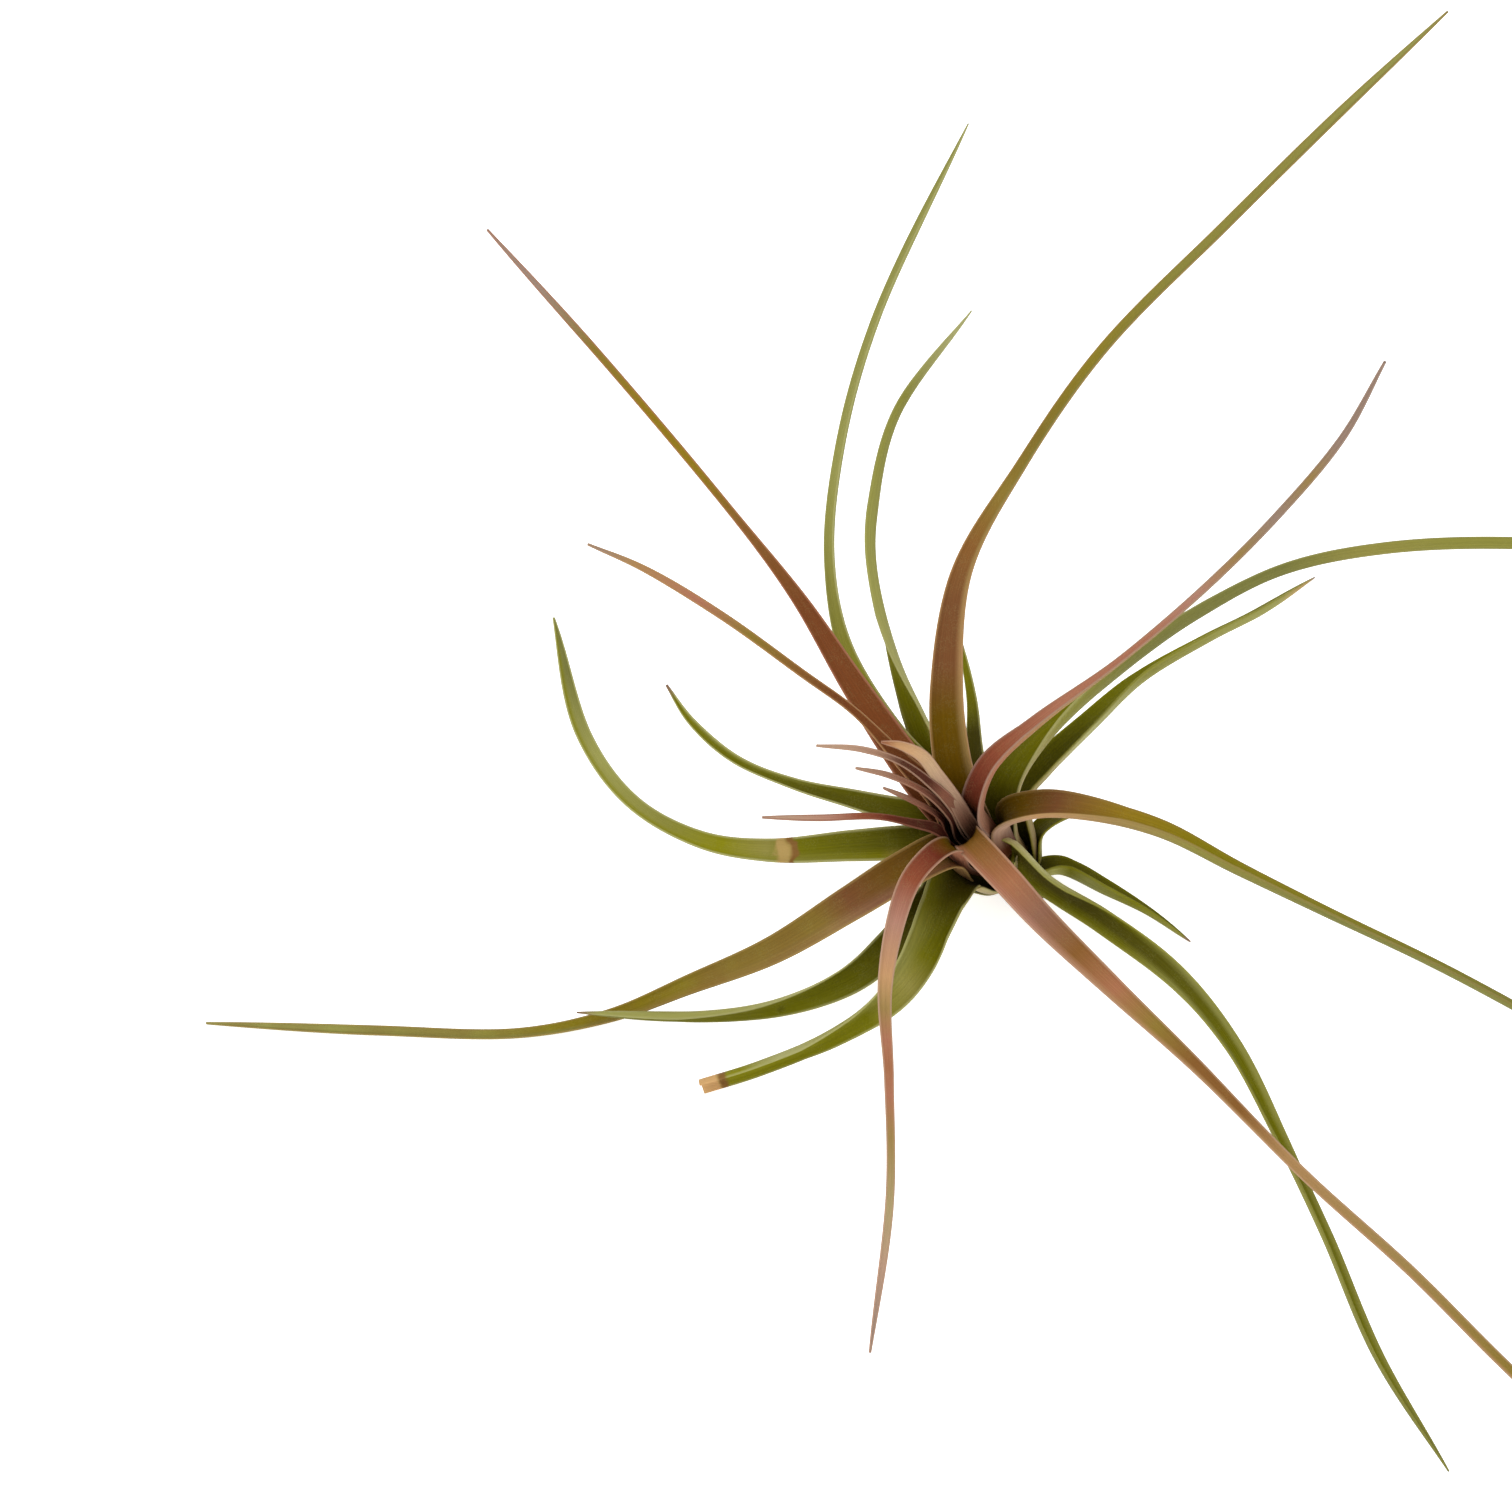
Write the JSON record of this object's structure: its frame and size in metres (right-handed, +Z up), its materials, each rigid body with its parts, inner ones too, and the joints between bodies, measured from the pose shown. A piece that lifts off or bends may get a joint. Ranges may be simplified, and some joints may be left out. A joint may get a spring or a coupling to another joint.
{
  "type": "air plant",
  "caption": "Rootless rosette of long, narrow, channelled leaves on a short leaning stem, pink to copper at the heart and green outside, lying on its lowest leaves.",
  "frame": {"origin": "middle of the flat trimmed foot of the stem, on the surface that the plant lies on", "axes": "+Z up from that surface; the stem leans 32 degrees towards -X; the longest leaf reaches towards +Y; -Z is the way the foot faces"},
  "size_m": [0.2777, 0.2943, 0.0783],
  "materials": {
    "stem": "dry brown stem with papery leaf scars, matt",
    "heart_leaf": "young leaf, dusky pink to tan, fine scales, satin to matt",
    "copper_leaf": "grown leaf, copper brown at the base to olive at the tip, fine scales, satin",
    "green_leaf": "old leaf, dark olive green with pale margins and brown tip, fine scales, satin"
  },
  "bodies": {
    "root": {"stem": "stem", "heart_leaf_1": "heart_leaf", "heart_leaf_2": "heart_leaf", "heart_leaf_3": "heart_leaf", "heart_leaf_4": "heart_leaf", "heart_leaf_5": "heart_leaf", "inner_leaf_2": "heart_leaf", "inner_leaf_1": "copper_leaf", "inner_leaf_3": "copper_leaf", "inner_leaf_4": "copper_leaf", "inner_leaf_5": "copper_leaf", "inner_leaf_6": "copper_leaf", "inner_leaf_7": "copper_leaf", "inner_leaf_8": "copper_leaf", "outer_leaf_1": "green_leaf", "outer_leaf_2": "green_leaf", "outer_leaf_3": "green_leaf", "outer_leaf_4": "green_leaf", "outer_leaf_5": "green_leaf", "outer_leaf_6": "green_leaf", "outer_leaf_7": "green_leaf", "outer_leaf_8": "green_leaf", "outer_leaf_9": "green_leaf", "outer_leaf_10": "green_leaf", "outer_leaf_11": "green_leaf", "outer_leaf_12": "green_leaf"}
  },
  "joints": []
}
